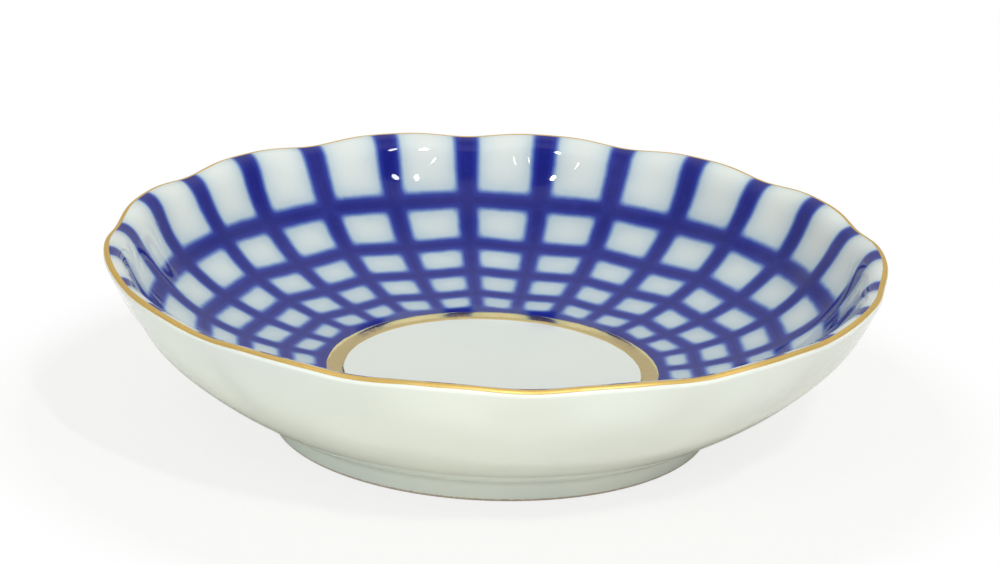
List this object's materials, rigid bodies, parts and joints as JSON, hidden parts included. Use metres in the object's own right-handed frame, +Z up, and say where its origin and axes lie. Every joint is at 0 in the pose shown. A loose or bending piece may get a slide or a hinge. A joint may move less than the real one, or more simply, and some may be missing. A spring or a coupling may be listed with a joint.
{
  "type": "jam dish",
  "caption": "Round fluted porcelain dish on a low foot ring, for serving jam, with a cobalt check on its inner wall and gilding on its rim and round its well.",
  "frame": {"origin": "middle of the foot ring, on the surface that the dish stands on", "axes": "+Z up along the axis of the dish, +X through the middle of a petal"},
  "size_m": [0.1052, 0.1044, 0.0246],
  "materials": {
    "porcelain": "gloss",
    "cobalt": "gloss",
    "rim_gold": "polished",
    "well_gold": "polished"
  },
  "bodies": {
    "root": {"porcelain_body": "porcelain", "cobalt_check": "cobalt", "rim_gilding": "rim_gold", "well_gilding": "well_gold"}
  },
  "joints": []
}
